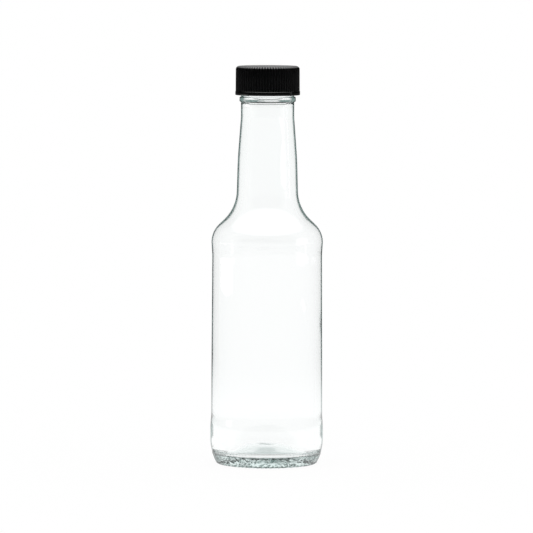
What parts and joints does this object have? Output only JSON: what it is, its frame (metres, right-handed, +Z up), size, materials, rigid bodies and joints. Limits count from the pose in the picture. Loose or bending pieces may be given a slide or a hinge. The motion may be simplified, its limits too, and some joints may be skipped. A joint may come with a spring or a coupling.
{
  "type": "empty glass sauce bottle",
  "caption": "Slim clear glass sauce bottle, empty, with a tapered neck, recessed label panel, domed base and a ribbed black screw cap.",
  "frame": {"origin": "centre of the base, on the plane the bottle stands on", "axes": "+Z up along the bottle's axis, from the base to the cap; X and Y are alike"},
  "size_m": [0.046, 0.046, 0.162],
  "materials": {
    "glass": "clear, smooth, fire-polished",
    "cap_plastic": "moulded, semi-gloss"
  },
  "bodies": {
    "root": {"bottle": "glass", "cap": "cap_plastic"}
  },
  "joints": []
}
